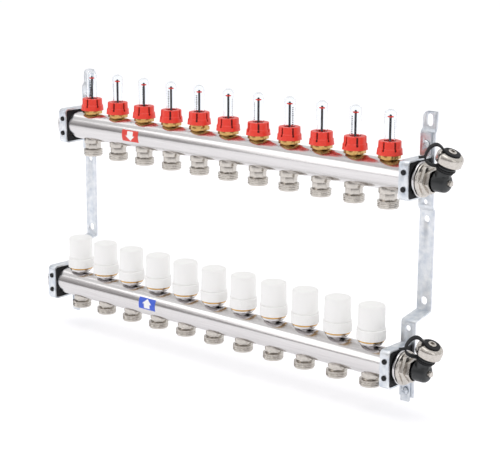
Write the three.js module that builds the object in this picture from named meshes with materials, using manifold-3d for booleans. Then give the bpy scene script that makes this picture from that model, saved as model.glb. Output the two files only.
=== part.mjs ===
import * as THREE from 'three';
import { mergeVertices } from 'three/addons/utils/BufferGeometryUtils.js';
import Module from 'manifold-3d';

// Underfloor heating manifold: a supply bar with flow meters above a return bar with valve caps,
// both clamped to two joggled wall brackets, each bar ending in a plug with a drain valve.
// Millimetres. +X runs along the bars towards the drain valves, +Y into the wall, +Z up.
// The origin lies on the left bracket's wall face, midway between the two bars.

const wasm = await Module();
wasm.setup();

// ---- overall sizes
const loopCount = 11;
const loopPitch = 50;
const barSpacing = 220;
const clampOffset = 36; // from an end outlet to the bracket beside it
const barEnd = 48.5; // from an end outlet to the bar's end face
const gap = 0.3; // between pieces that rest on each other
const tubeSides = 16;
const bossSides = 8;

// ---- bars and their end sockets
const barDiameter = 37;
const barWall = 1.5;
const collarStep = 2.5;
const collarLength = 3;
const socketWall = 3.3;
const socketLength = 12;

// ---- outlets under the bars
const outletBore = 16;
const threadDiameter = 26.4;
const supplyOutlet = { neck: 24, body: 21, neckDrop: 3.5, bodyDrop: 12.5, drop: 21.5 };
const returnOutlet = { neck: 21.5, body: 20, neckDrop: 2, bodyDrop: 5.6, drop: 14 };

// ---- flow meters on the supply bar
const meterBaseDiameter = 28;
const meterBaseHeight = 4.9;
const ringDiameter = 29.5;
const ringTopDiameter = 26;
const ringStep = 7.2;
const ringHeight = 16;
const glassDiameter = 14;
const glassWall = 1.6;
const glassHeight = 38;
const rodDiameter = 2.8;
const rodClearance = 0.5; // around the rod, in the meter's base
const floatDiameter = 7.6;
const floatHeight = 2.6;
const floatRise = 29; // float top above the red ring
const discDiameter = 9.2;
const discHeight = 1.5;

// ---- thermostatic valve caps on the return bar
const insertDiameter = 28;
const insertHeight = 5.4;
const brassRingDiameter = 32;
const brassRingHeight = 1.5;
const stubDiameter = 24;
const stubHeight = 14;
const capDiameter = 33;
const capBandDiameter = 35.5;
const capBandHeight = 13;
const capHeight = 42.3;
const capEdge = 2.5;

// ---- brackets, clamps and their screws
const plateThickness = 2;
const plateWidth = 20;
const upperJoggle = 4;
const lowerJoggle = 31.5;
const padTop = 75; // above the upper bar's axis
const padBottom = 54;
const upperPlaneBottom = 38; // below the upper bar's axis
const stepAbove = 54; // above the lower bar's axis
const bracketTail = 45; // below the lower bar's axis
const wallSlot = { width: 8.5, height: 15 };
const strapThickness = 2;
const strapWidth = 13;
const strapCorner = 4;
const saddleWall = 3; // above, below and in front of the bar
const saddleBack = 5.5;
const saddleWidth = 15;
const pinHeight = 10;
const pinDiameter = 5;
const pinHeadDiameter = 6.5;
const pinHeadHeight = 1.6;
const flangeHeight = 27;
const hookWidth = 8;
const screwDiameter = 4.6;
const screwHeadDiameter = 9;
const screwHeadHeight = 2.6;

// ---- end plugs and drain valves
const plugSealGap = 1;
const plugFlangeLength = 3;
const bigHex = { acrossFlats: 33, length: 5.5 };
const smallHex = { acrossFlats: 26, length: 5.5 };
const plugBore = 10;
const spigotDiameter = 14;
const spigotLength = 5;
const drainDiameter = 23;
const drainTaper = 3.5;
const outletLean = 23; // outlet leans from square to the bar, away from the plug, degrees
const outletSetback = 3; // where it crosses the body's own axis, towards the plug
const drainNeckDiameter = 18.5;
const drainFlangeDiameter = 22;
const drainFlangeRise = 8; // above the drain body's side
const drainFlangeHeight = 2;
const hoseThreadDiameter = 25.8;
const hoseCapDiameter = 32;
const hoseCapHeight = 12.5;
const hoseCapRise = 14; // cap's lower edge above the drain body's side
const hoseCapWall = 2;
const bossDiameter = 10;
const bossHeight = 3;
const squareKey = 4.5;
const stemSquare = 5.5;
const stemLength = 4;
const stemShank = 7;
const stemShankLength = 5;
const stemClearance = 1; // round the stem where the outlet leans over it
const tetherThickness = 1.6;
const tetherWidth = 5;
const tetherBearing = 45; // turned from -X towards the front, degrees

// ---- worked out from the sizes above
const barRadius = barDiameter / 2;
const boreRadius = barRadius - barWall;
const socketRadius = barRadius - socketWall;
const strapInner = barRadius + saddleWall;
const seatBack = barRadius + saddleBack;
const upperStand = seatBack + plateThickness + upperJoggle;
const lowerStand = seatBack + plateThickness + lowerJoggle;
const upperZ = barSpacing / 2;
const lowerZ = -barSpacing / 2;
const loopsLength = (loopCount - 1) * loopPitch;
const bracketSpan = loopsLength + 2 * clampOffset;
const screwHeight = strapInner + strapThickness + flangeHeight / 2;

// ---- materials
const finish = (color, roughness, metalness) =>
  new THREE.MeshStandardMaterial({ color, roughness, metalness });
const steel = finish('#c9c4c0', 0.3, 1);
const redPlastic = finish('#e0352c', 0.45, 0);
const rodPlastic = finish('#4a4a4c', 0.5, 0);
const whitePlastic = finish('#f2f1ef', 0.45, 0);
const zinc = finish('#cfd6da', 0.35, 1);
const rubber = finish('#16171a', 0.75, 0);
const nickel = finish('#cdc5ba', 0.25, 1);
const blackPlastic = finish('#202326', 0.55, 0);

// ---- solids
function toSolid(geometry) {
  const bare = geometry.index ? geometry.clone() : mergeVertices(geometry.clone());
  bare.deleteAttribute('normal');
  bare.deleteAttribute('uv');
  const merged = mergeVertices(bare, 1e-4);
  const index = merged.index.array;
  const triangles = [];
  for (let i = 0; i < index.length; i += 3) {
    const corners = new Set([index[i], index[i + 1], index[i + 2]]);
    if (corners.size === 3) triangles.push(...corners);
  }
  return new wasm.Manifold(new wasm.Mesh({
    numProp: 3,
    vertProperties: new Float32Array(merged.attributes.position.array),
    triVerts: new Uint32Array(triangles),
  }));
}

function toGeometry(solid) {
  const mesh = solid.getMesh();
  const geometry = new THREE.BufferGeometry();
  geometry.setAttribute('position', new THREE.BufferAttribute(new Float32Array(mesh.vertProperties), 3));
  geometry.setIndex(new THREE.BufferAttribute(new Uint32Array(mesh.triVerts), 1));
  geometry.computeVertexNormals();
  return geometry;
}

// A solid turned about +Z from [radius, height] points that start and end on the axis,
// or that come back to the first point when the profile is a ring.
function turned(profile, sides) {
  const points = profile.map(([radius, height]) => new THREE.Vector2(radius, height));
  return new THREE.LatheGeometry(points, sides).rotateX(Math.PI / 2);
}

const turnedRing = (profile, sides) => turned([...profile, profile[0]], sides);

function rod(radius, from, to, sides) {
  return turned([[0, from], [radius, from], [radius, to], [0, to]], sides);
}

const alongX = (geometry) => geometry.rotateY(Math.PI / 2);
const alongY = (geometry) => geometry.rotateX(-Math.PI / 2);

function hexagon(acrossFlats, from, to) {
  return alongX(rod(acrossFlats / Math.sqrt(3), from, to, 6));
}

function box(sizeX, sizeY, sizeZ, x, y, z) {
  return new THREE.BoxGeometry(sizeX, sizeY, sizeZ).translate(x, y, z);
}

// An outline of [y, z] points pushed along X, centred on x = 0.
function pushedAlongX(outline, width) {
  const shape = new THREE.Shape(outline.map(([y, z]) => new THREE.Vector2(y, z)));
  const geometry = new THREE.ExtrudeGeometry(shape, { depth: width, bevelEnabled: false });
  const axes = new THREE.Matrix4().makeBasis(
    new THREE.Vector3(0, 1, 0),
    new THREE.Vector3(0, 0, 1),
    new THREE.Vector3(1, 0, 0),
  );
  return geometry.translate(0, 0, -width / 2).applyMatrix4(axes);
}

// The path with each inner corner replaced by an arc of the given radius.
function withRoundCorners(path, radius, steps) {
  const rounded = [path[0]];
  for (let i = 1; i < path.length - 1; i += 1) {
    const corner = new THREE.Vector2(...path[i]);
    const toStart = new THREE.Vector2(...path[i - 1]).sub(corner).normalize();
    const toEnd = new THREE.Vector2(...path[i + 1]).sub(corner).normalize();
    const half = Math.acos(THREE.MathUtils.clamp(toStart.dot(toEnd), -1, 1)) / 2;
    const centre = toStart.clone().add(toEnd).normalize().multiplyScalar(radius / Math.sin(half)).add(corner);
    const first = toStart.multiplyScalar(radius / Math.tan(half)).add(corner).sub(centre);
    const last = toEnd.multiplyScalar(radius / Math.tan(half)).add(corner).sub(centre);
    const sweep = Math.atan2(first.cross(last), first.dot(last));
    for (let step = 0; step <= steps; step += 1) {
      const point = first.clone().rotateAround(new THREE.Vector2(), (sweep * step) / steps).add(centre);
      rounded.push([point.x, point.y]);
    }
  }
  rounded.push(path[path.length - 1]);
  return rounded;
}

// The closed outline of a sheet whose one face follows the path, with its thickness to the right.
function sheetOutline(path, thickness) {
  const heading = (i) => new THREE.Vector2(...path[i + 1]).sub(new THREE.Vector2(...path[i])).normalize();
  const right = (direction) => new THREE.Vector2(direction.y, -direction.x);
  const offset = path.map(([y, z], i) => {
    const before = right(heading(Math.max(i - 1, 0)));
    const after = right(heading(Math.min(i, path.length - 2)));
    const mitre = before.clone().add(after).normalize();
    const reach = thickness / mitre.dot(after);
    return [y + mitre.x * reach, z + mitre.y * reach];
  });
  return [...path, ...offset.reverse()];
}

function named(name, geometry, material) {
  const mesh = new THREE.Mesh(geometry, material);
  mesh.name = name;
  return mesh;
}

const twoDigits = (number) => String(number).padStart(2, '0');

// ---- bars
function barOutside() {
  const start = -barEnd;
  const end = loopsLength + barEnd;
  const collar = barRadius + collarStep;
  return toSolid(alongX(turned([
    [0, start],
    [collar, start],
    [collar, start + collarLength],
    [barRadius, start + collarLength],
    [barRadius, end - collarLength],
    [collar, end - collarLength],
    [collar, end],
    [0, end],
  ], tubeSides)));
}

function barInside() {
  const start = -barEnd;
  const end = loopsLength + barEnd;
  return toSolid(alongX(turned([
    [0, start - 1],
    [socketRadius, start - 1],
    [socketRadius, start + socketLength],
    [boreRadius, start + socketLength],
    [boreRadius, end - socketLength],
    [socketRadius, end - socketLength],
    [socketRadius, end + 1],
    [0, end + 1],
  ], tubeSides)));
}

// A boss, or the cutter of a bore, turned half a step so that its edges miss the tube's.
function boss(profile) {
  return toSolid(turned(profile, bossSides).rotateZ(Math.PI / bossSides));
}

function pillar(diameter, from, to) {
  return boss([[0, from], [diameter / 2, from], [diameter / 2, to], [0, to]]);
}

function outletNipple(sizes) {
  return boss([
    [0, -barRadius - sizes.drop],
    [threadDiameter / 2, -barRadius - sizes.drop],
    [threadDiameter / 2, -barRadius - sizes.bodyDrop],
    [sizes.body / 2, -barRadius - sizes.bodyDrop],
    [sizes.body / 2, -barRadius - sizes.neckDrop],
    [sizes.neck / 2, -barRadius - sizes.neckDrop],
    [sizes.neck / 2, 0],
    [0, 0],
  ]);
}

function meterBase() {
  return pillar(meterBaseDiameter, 0, barRadius + meterBaseHeight);
}

function valveInsert() {
  const radius = insertDiameter / 2;
  const brassBottom = barRadius + insertHeight;
  const brassTop = brassBottom + brassRingHeight;
  return boss([
    [0, 0],
    [radius, 0],
    [radius, brassBottom],
    [brassRingDiameter / 2, brassBottom],
    [brassRingDiameter / 2, brassTop],
    [stubDiameter / 2, brassTop],
    [stubDiameter / 2, brassTop + stubHeight],
    [0, brassTop + stubHeight],
  ]);
}

// The bar with everything welded or pressed into it: the outlets below and the seats above.
function bar(outletSizes, topSeat, topBore) {
  const acrossLoops = (solid, change) => {
    let result = solid;
    for (let loop = 0; loop < loopCount; loop += 1) result = change(result, [loop * loopPitch, 0, 0]);
    return result;
  };
  const nipple = outletNipple(outletSizes);
  const seat = topSeat();
  const outletCut = pillar(outletBore, -barRadius - outletSizes.drop - 1, 0);
  let solid = acrossLoops(barOutside(), (body, at) => body.add(nipple.translate(at)).add(seat.translate(at)));
  solid = solid.subtract(barInside());
  solid = acrossLoops(solid, (body, at) => body.subtract(outletCut.translate(at)));
  if (topBore > 0) {
    const seatCut = pillar(topBore, 0, barRadius + meterBaseHeight + 1);
    solid = acrossLoops(solid, (body, at) => body.subtract(seatCut.translate(at)));
  }
  return toGeometry(solid);
}

// ---- flow meters
const ringBottom = barRadius + meterBaseHeight + gap;
const ringTop = ringBottom + ringHeight;

function flowHead() {
  const glassTop = ringTop + glassHeight;
  const glassRadius = glassDiameter / 2;
  const inside = glassRadius - glassWall;
  return toGeometry(toSolid(turned([
    [0, glassTop - glassWall],
    [inside, glassTop - glassWall - 2],
    [inside, ringBottom],
    [ringDiameter / 2, ringBottom],
    [ringDiameter / 2, ringBottom + ringStep],
    [ringTopDiameter / 2, ringBottom + ringStep],
    [ringTopDiameter / 2, ringTop],
    [glassRadius, ringTop],
    [glassRadius, glassTop - 3],
    [glassRadius - 3, glassTop],
    [0, glassTop],
  ], 10)));
}

function flowIndicator() {
  const discBottom = -discHeight - 4;
  const floatTop = ringTop + floatRise;
  return toGeometry(toSolid(turned([
    [0, discBottom],
    [discDiameter / 2, discBottom],
    [discDiameter / 2, discBottom + discHeight],
    [rodDiameter / 2, discBottom + discHeight],
    [rodDiameter / 2, floatTop - floatHeight],
    [floatDiameter / 2, floatTop - floatHeight],
    [floatDiameter / 2, floatTop],
    [0, floatTop],
  ], 8)));
}

// ---- valve caps
function valveCap() {
  const bottom = barRadius + insertHeight + brassRingHeight + gap;
  const top = bottom + capHeight;
  const inside = stubDiameter / 2 + 0.6;
  const ceiling = bottom + stubHeight + 0.7;
  return toGeometry(toSolid(turned([
    [0, ceiling],
    [inside, ceiling],
    [inside, bottom],
    [capBandDiameter / 2, bottom],
    [capBandDiameter / 2, bottom + capBandHeight],
    [capDiameter / 2, bottom + capBandHeight],
    [capDiameter / 2, top - capEdge],
    [capDiameter / 2 - capEdge, top],
    [0, top],
  ], 12)));
}

// ---- wall brackets: one bent strip, from the pad above the upper bar to the tail below the lower one
function bracket() {
  const back = [
    [0, upperZ + padTop],
    [0, upperZ + padBottom],
    [-upperJoggle, upperZ + padBottom - upperJoggle],
    [-upperJoggle, upperZ - upperPlaneBottom],
    [0, upperZ - upperPlaneBottom - upperJoggle],
    [0, lowerZ + stepAbove],
    [-lowerJoggle, lowerZ + stepAbove - 6],
    [-lowerJoggle, lowerZ - bracketTail],
  ];
  let solid = toSolid(pushedAlongX(sheetOutline(back, plateThickness), plateWidth));
  const drill = (diameter, z) => {
    const hole = rod(diameter / 2, -lowerJoggle - 2 * plateThickness, 2 * plateThickness, 8);
    solid = solid.subtract(toSolid(alongY(hole).translate(0, 0, z)));
  };
  const slot = (width, height, z) => {
    const depth = lowerJoggle + 4 * plateThickness;
    solid = solid.subtract(toSolid(box(width, depth, height, 0, -lowerJoggle / 2, z)));
  };
  const hookZ = strapInner + strapThickness / 2;
  slot(wallSlot.width, wallSlot.height, upperZ + (padTop + padBottom) / 2);
  drill(screwDiameter + 1, upperZ + screwHeight);
  slot(hookWidth + 1, strapThickness + 1, upperZ - hookZ);
  drill(6, upperZ - upperPlaneBottom + 6);
  drill(8, upperZ - upperPlaneBottom - 15);
  slot(wallSlot.width, 10, lowerZ + stepAbove + 13);
  drill(7, lowerZ + 40);
  slot(hookWidth + 1, strapThickness + 1, lowerZ + hookZ);
  drill(screwDiameter + 1, lowerZ - screwHeight);
  return toGeometry(solid);
}

// ---- clamps, seen from a bar's axis with the screwed flange above and the hook below
function clampStrap() {
  const back = seatBack - gap;
  const hookEnd = seatBack + plateThickness + 2.5;
  const round = withRoundCorners([
    [back, strapInner],
    [-strapInner, strapInner],
    [-strapInner, -strapInner],
    [hookEnd, -strapInner],
  ], strapCorner, 2);
  const path = [[back, strapInner + strapThickness + flangeHeight], ...round];
  let solid = toSolid(pushedAlongX(sheetOutline(path, strapThickness), strapWidth));
  for (const z of [pinHeight, -pinHeight]) {
    const hole = rod(pinDiameter / 2 + 0.5, strapInner - 1, strapInner + strapThickness + 1, 8);
    solid = solid.subtract(toSolid(alongY(hole).rotateZ(Math.PI).translate(0, 0, z)));
  }
  const screwHole = rod(screwDiameter / 2 + 0.5, back - strapThickness - 1, back + 1, 8);
  solid = solid.subtract(toSolid(alongY(screwHole).translate(0, 0, screwHeight)));
  const trimmed = (strapWidth - hookWidth) / 2;
  for (const side of [-1, 1]) {
    const x = side * (hookWidth / 2 + trimmed / 2 + 1);
    const cut = box(trimmed + 2, 20, strapThickness + 2, x, seatBack - gap + 10, -strapInner - strapThickness / 2);
    solid = solid.subtract(toSolid(cut));
  }
  return toGeometry(solid);
}

function clampSaddle() {
  const front = -strapInner + gap;
  const back = seatBack - gap;
  const half = strapInner - gap;
  const outline = withRoundCorners([
    [back, half],
    [front, half],
    [front, -half],
    [back, -half],
  ], strapCorner, 2);
  let solid = toSolid(pushedAlongX(outline, saddleWidth));
  solid = solid.subtract(toSolid(box(saddleWidth + 2, strapThickness + gap + 1, 8, 0, back, half)));
  const seat = alongX(rod(barRadius + 0.9, -saddleWidth, saddleWidth, tubeSides));
  solid = solid.subtract(toSolid(seat));
  for (const z of [pinHeight, -pinHeight]) {
    const neckEnd = strapInner + strapThickness + 0.2;
    const pin = turned([
      [0, strapInner - 1.2],
      [pinDiameter / 2, strapInner - 1.2],
      [pinDiameter / 2, neckEnd],
      [pinHeadDiameter / 2, neckEnd],
      [pinHeadDiameter / 2, neckEnd + pinHeadHeight],
      [0, neckEnd + pinHeadHeight],
    ], 8);
    solid = solid.add(toSolid(alongY(pin).rotateZ(Math.PI).translate(0, 0, z)));
  }
  return toGeometry(solid);
}

function clampScrew() {
  const headSeat = seatBack - gap - strapThickness - gap;
  const tip = seatBack + plateThickness + 1.5;
  return toGeometry(toSolid(alongY(turned([
    [0, headSeat - screwHeadHeight],
    [screwHeadDiameter / 2, headSeat - screwHeadHeight],
    [screwHeadDiameter / 2, headSeat],
    [screwDiameter / 2, headSeat],
    [screwDiameter / 2, tip],
    [0, tip],
  ], 10)).translate(0, 0, screwHeight)));
}

// ---- end plug, from the bar's end face towards +X
const plugFace = plugSealGap + plugFlangeLength;
const plugEnd = plugFace + bigHex.length + smallHex.length;

function endPlug() {
  let solid = toSolid(alongX(turned([
    [0, -socketLength + gap],
    [socketRadius - gap, -socketLength + gap],
    [socketRadius - gap, plugSealGap],
    [barRadius + collarStep - 0.5, plugSealGap],
    [barRadius + collarStep - 0.5, plugFace],
    [0, plugFace],
  ], tubeSides)));
  solid = solid.add(toSolid(hexagon(bigHex.acrossFlats, plugFace - 1, plugFace + bigHex.length)));
  solid = solid.add(toSolid(hexagon(smallHex.acrossFlats, plugFace + bigHex.length - 1, plugEnd)));
  solid = solid.add(toSolid(alongX(rod(spigotDiameter / 2, plugEnd - 1, plugEnd + spigotLength, 12))));
  solid = solid.subtract(toSolid(alongX(rod(plugBore / 2, -socketLength - 1, plugEnd + spigotLength + 1, 8))));
  return toGeometry(solid);
}

// ---- drain valve, about its own centre, with the outlet along +Z before it leans
const drainRadius = drainDiameter / 2;
const drainLength = drainNeckDiameter + 0.5;
const capBottom = drainRadius + hoseCapRise;
const capTop = capBottom + hoseCapHeight;
const capCeiling = capTop - hoseCapWall;

function drainBody() {
  const half = drainLength / 2;
  const flange = drainRadius + drainFlangeRise;
  let solid = toSolid(alongX(turned([
    [0, -half],
    [drainRadius, -half],
    [drainRadius, half - drainTaper],
    [drainRadius - drainTaper, half],
    [0, half],
  ], 16)));
  const leaning = (geometry) => toSolid(geometry
    .rotateY(THREE.MathUtils.degToRad(outletLean)).translate(-outletSetback, 0, 0));
  solid = solid.add(leaning(turned([
    [0, drainNeckDiameter / 3],
    [drainNeckDiameter / 2, drainNeckDiameter / 3],
    [drainNeckDiameter / 2, flange],
    [drainFlangeDiameter / 2, flange],
    [drainFlangeDiameter / 2, flange + drainFlangeHeight],
    [drainNeckDiameter / 2, flange + drainFlangeHeight],
    [drainNeckDiameter / 2, capBottom + 1],
    [hoseThreadDiameter / 2, capBottom + 1],
    [hoseThreadDiameter / 2, capCeiling - 0.5],
    [0, capCeiling - 0.5],
  ], 16)));
  solid = solid.subtract(leaning(rod(plugBore / 2, 0, capTop, 8)));
  const spigotRadius = spigotDiameter / 2 + gap;
  solid = solid.subtract(toSolid(alongX(rod(spigotRadius, -half - 1, spigotLength + 1 - half, 12))));
  solid = solid.subtract(toSolid(alongX(rod(plugBore / 2, -half, 0, 8))));
  const shankRadius = stemShank / 2 + gap;
  solid = solid.subtract(toSolid(alongX(rod(shankRadius, half - stemShankLength - gap, half + 1, 10))));
  const stemRoom = stemShank / 2 + stemClearance;
  solid = solid.subtract(toSolid(alongX(rod(stemRoom, half, half + stemLength + stemClearance, 10))));
  return toGeometry(solid);
}

function drainStem() {
  const half = drainLength / 2;
  const shank = toSolid(alongX(rod(stemShank / 2, half - stemShankLength, half + 1, 8)));
  return toGeometry(shank.add(toSolid(box(stemLength, stemSquare, stemSquare, half + gap + stemLength / 2, 0, 0))));
}

function hoseCap() {
  const radius = hoseCapDiameter / 2;
  const inside = radius - hoseCapWall;
  const solid = toSolid(turned([
    [0, capCeiling],
    [inside, capCeiling],
    [inside, capBottom],
    [radius, capBottom],
    [radius, capTop - 2],
    [radius - 1.5, capTop],
    [bossDiameter / 2, capTop],
    [bossDiameter / 2, capTop + bossHeight],
    [0, capTop + bossHeight],
  ], 16));
  const key = toSolid(box(squareKey, squareKey, bossHeight, 0, 0, capTop + bossHeight));
  return toGeometry(solid.subtract(key));
}

// The rubber strap that keeps the cap: a ring round the neck, a loop towards +Y, a pull tab on the
// loop and a ring on the cap.
function tether() {
  const ringZ = drainRadius + drainFlangeRise - tetherThickness - 2 * gap;
  const topZ = capTop + gap + tetherThickness;
  const route = new THREE.SplineCurve([
    [drainNeckDiameter / 2 + 1, ringZ],
    [hoseCapDiameter / 2 + 3, ringZ + 0.5],
    [hoseCapDiameter / 2 + 9.5, ringZ + 4.5],
    [hoseCapDiameter / 2 + 11.5, ringZ + 11.5],
    [hoseCapDiameter / 2 + 10, ringZ + 19],
    [hoseCapDiameter / 2 + 5, topZ + 2],
    [hoseCapDiameter / 2 - 2, topZ + 1.6],
    [bossDiameter / 2 + 2, topZ],
  ].map(([side, rise]) => new THREE.Vector2(side, rise)));
  const path = route.getPoints(14).map((point) => [point.x, point.y]);
  const loopSide = hoseCapDiameter / 2 + 10.5;
  const tab = [
    [loopSide, ringZ + 7.8],
    [loopSide + 8, ringZ + 4.4],
    [loopSide + 8.4, ringZ + 5.4],
    [loopSide + 0.5, ringZ + 10.8],
  ];
  let solid = toSolid(pushedAlongX(sheetOutline(path, -tetherThickness), tetherWidth));
  solid = solid.add(toSolid(pushedAlongX(tab, tetherWidth - 1)));
  const ring = (inner, outer, bottom) => toSolid(turnedRing([
    [inner, bottom],
    [outer, bottom],
    [outer, bottom + tetherThickness],
    [inner, bottom + tetherThickness],
  ], 16));
  solid = solid.add(ring(drainNeckDiameter / 2 + gap, drainNeckDiameter / 2 + 2.2, ringZ));
  solid = solid.add(ring(bossDiameter / 2 + gap, bossDiameter / 2 + 5, capTop + gap));
  return toGeometry(solid);
}

// ---- assembly
const manifold = new THREE.Group();

function place(parent, mesh, x = 0, y = 0, z = 0) {
  mesh.position.set(x, y, z);
  parent.add(mesh);
}

function group(parent, x, y, z) {
  const inner = new THREE.Group();
  inner.position.set(x, y, z);
  parent.add(inner);
  return inner;
}

// The plug and the drain valve on a bar's far end; the group's origin is the bar's end face.
function addDrain(end, bar) {
  place(end, named(`${bar}_end_plug`, endPlug(), nickel));
  const valve = group(end, plugEnd + gap + drainLength / 2, 0, 0);
  place(valve, named(`${bar}_drain_body`, drainBody(), blackPlastic));
  place(valve, named(`${bar}_drain_stem`, drainStem(), nickel));
  const outlet = group(valve, -outletSetback, 0, 0);
  outlet.rotation.y = THREE.MathUtils.degToRad(outletLean);
  place(outlet, named(`${bar}_hose_cap`, hoseCap(), nickel));
  const strap = named(`${bar}_cap_tether`, tether(), rubber);
  strap.rotation.z = THREE.MathUtils.degToRad(90 + tetherBearing);
  place(outlet, strap);
}

// A strap, its rubber saddle and its screw; the return bar's clamps hang the other way up.
function addClamp(row, label, x, upsideDown) {
  const clamp = group(row, x, 0, 0);
  clamp.rotation.y = upsideDown ? Math.PI : 0;
  place(clamp, named(`clamp_${label}`, clampStrap(), zinc));
  place(clamp, named(`saddle_${label}`, clampSaddle(), rubber));
  place(clamp, named(`screw_${label}`, clampScrew(), zinc));
}

const supply = group(manifold, clampOffset, -upperStand, upperZ);
place(supply, named('supply_bar', bar(supplyOutlet, meterBase, rodDiameter + 2 * rodClearance), steel));
addDrain(group(supply, loopsLength + barEnd, 0, 0), 'supply');
addClamp(supply, 'upper_left', -clampOffset, false);
addClamp(supply, 'upper_right', loopsLength + clampOffset, false);

const returning = group(manifold, clampOffset, -lowerStand, lowerZ);
place(returning, named('return_bar', bar(returnOutlet, valveInsert, 0), steel));
addDrain(group(returning, loopsLength + barEnd, 0, 0), 'return');
addClamp(returning, 'lower_left', -clampOffset, true);
addClamp(returning, 'lower_right', loopsLength + clampOffset, true);

for (let loop = 0; loop < loopCount; loop += 1) {
  const number = twoDigits(loop + 1);
  place(supply, named(`flow_head_${number}`, flowHead(), redPlastic), loop * loopPitch);
  place(supply, named(`flow_indicator_${number}`, flowIndicator(), rodPlastic), loop * loopPitch);
  place(returning, named(`valve_cap_${number}`, valveCap(), whitePlastic), loop * loopPitch);
}

place(manifold, named('left_bracket', bracket(), zinc));
place(manifold, named('right_bracket', bracket(), zinc), bracketSpan);

export default manifold;
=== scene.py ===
import math

import bpy
from mathutils import Matrix, Vector


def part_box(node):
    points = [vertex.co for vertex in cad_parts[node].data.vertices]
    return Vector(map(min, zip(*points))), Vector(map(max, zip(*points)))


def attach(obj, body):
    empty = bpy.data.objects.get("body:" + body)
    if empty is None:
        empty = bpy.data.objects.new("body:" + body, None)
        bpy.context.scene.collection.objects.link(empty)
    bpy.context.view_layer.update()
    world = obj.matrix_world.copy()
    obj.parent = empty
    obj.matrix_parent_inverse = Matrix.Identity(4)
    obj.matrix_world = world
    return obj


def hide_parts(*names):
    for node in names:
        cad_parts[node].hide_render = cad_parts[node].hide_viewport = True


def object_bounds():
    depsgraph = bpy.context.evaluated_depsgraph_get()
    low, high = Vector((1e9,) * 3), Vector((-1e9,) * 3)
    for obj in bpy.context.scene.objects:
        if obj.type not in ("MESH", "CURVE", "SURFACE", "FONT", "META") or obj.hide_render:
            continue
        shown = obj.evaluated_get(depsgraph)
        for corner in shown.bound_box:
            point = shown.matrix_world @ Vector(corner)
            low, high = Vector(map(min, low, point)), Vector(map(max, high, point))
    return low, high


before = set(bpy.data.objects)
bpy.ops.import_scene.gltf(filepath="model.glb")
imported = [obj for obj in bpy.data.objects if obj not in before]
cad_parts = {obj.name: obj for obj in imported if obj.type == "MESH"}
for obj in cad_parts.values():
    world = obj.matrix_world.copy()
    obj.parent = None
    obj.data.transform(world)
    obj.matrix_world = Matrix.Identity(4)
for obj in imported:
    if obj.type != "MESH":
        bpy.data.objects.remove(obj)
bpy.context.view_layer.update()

# ---- Bar tubes
# Two round stainless tubes, each with a swaged collar and a socket at both ends. The tube is drawn
# and then polished along its length, so fine lines run along it. The bars are held by the clamps.
MM = 0.001
TUBE_RADIUS = 18.5
TUBE_BORE = 17.0
COLLAR_RADIUS = 21.0
COLLAR_LENGTH = 3.0
SOCKET_RADIUS = 15.2
SOCKET_LENGTH = 12.0
FULL_TURN = 2 * math.pi


def linear(colour):
    """The linear RGBA of an sRGB hex colour."""
    parts = [int(colour[i:i + 2], 16) / 255 for i in (1, 3, 5)]
    return (*(p / 12.92 if p <= 0.04045 else ((p + 0.055) / 1.055) ** 2.4 for p in parts), 1)


def add_node(material, kind, settings, **links):
    """Adds a node, gives it its settings, and links sockets into the inputs named."""
    node = material.node_tree.nodes.new(kind)
    for name, value in settings.items():
        if isinstance(name, int) or name in node.inputs:
            node.inputs[name].default_value = value
        else:
            setattr(node, name, value)
    for name, socket in links.items():
        place = int(name[1:]) if name[1:].isdigit() else name.replace("_", " ")
        material.node_tree.links.new(socket, node.inputs[place])
    return node


def new_material(name, settings):
    """A material with its shader's own sockets set, and the place of each point in millimetres."""
    material = bpy.data.materials.new(name)
    material.use_nodes = True
    shader = material.node_tree.nodes["Principled BSDF"]
    for socket, value in settings.items():
        shader.inputs[socket].default_value = value
    place = add_node(material, "ShaderNodeTexCoord", {}).outputs["Object"]
    scale = add_node(material, "ShaderNodeMapping", {"Scale": (1000, 1000, 1000)}, Vector=place)
    return material, shader, scale.outputs["Vector"]


def shade_with(material, shader, name, socket):
    material.node_tree.links.new(socket, shader.inputs[name])


def middle(node):
    """The middle of a CAD node's box, in millimetres."""
    low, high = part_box(node)
    return (low + high) / 2 / MM


def alone():
    """Out of edit mode, with nothing selected."""
    if bpy.context.object and bpy.context.object.mode == "EDIT":
        bpy.ops.object.mode_set(mode="OBJECT")
    bpy.ops.object.select_all(action="DESELECT")


def one_point(name, x, y, z):
    """A new piece with a single vertex, left selected in edit mode, to draw from."""
    alone()
    bpy.ops.mesh.primitive_plane_add(size=MM)
    piece = bpy.context.object
    piece.name = piece.data.name = name
    bpy.ops.object.mode_set(mode="EDIT")
    bpy.context.tool_settings.mesh_select_mode = (True, False, False)
    bpy.ops.mesh.merge(type="CENTER")
    bpy.ops.transform.translate(value=Vector((x, y, z)) * MM)
    return piece


def turned(name, outline, steps):
    """Draws half an outline of (radius, height) points and spins it round Z."""
    piece = one_point(name, outline[0][0], 0, outline[0][1])
    for (radius, height), (next_radius, next_height) in zip(outline, outline[1:]):
        move = Vector((next_radius - radius, 0, next_height - height)) * MM
        bpy.ops.mesh.extrude_region_move(TRANSFORM_OT_translate={"value": move})
    bpy.ops.mesh.select_all(action="SELECT")
    bpy.ops.mesh.spin(steps=steps, angle=FULL_TURN, center=(0, 0, 0), axis=(0, 0, 1))
    bpy.ops.mesh.select_all(action="SELECT")
    bpy.ops.mesh.remove_doubles(threshold=0.005 * MM)
    bpy.ops.mesh.normals_make_consistent(inside=False)
    bpy.ops.object.mode_set(mode="OBJECT")
    return piece


def take_up(piece):
    """Selects one piece and makes it the active one, with nothing else selected."""
    alone()
    piece.select_set(True)
    bpy.context.view_layer.objects.active = piece
    return piece


def keep_place(piece):
    """Keeps a piece's place, turn and size in its mesh."""
    take_up(piece)
    bpy.ops.object.transform_apply(location=True, rotation=True, scale=True)
    return piece


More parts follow.
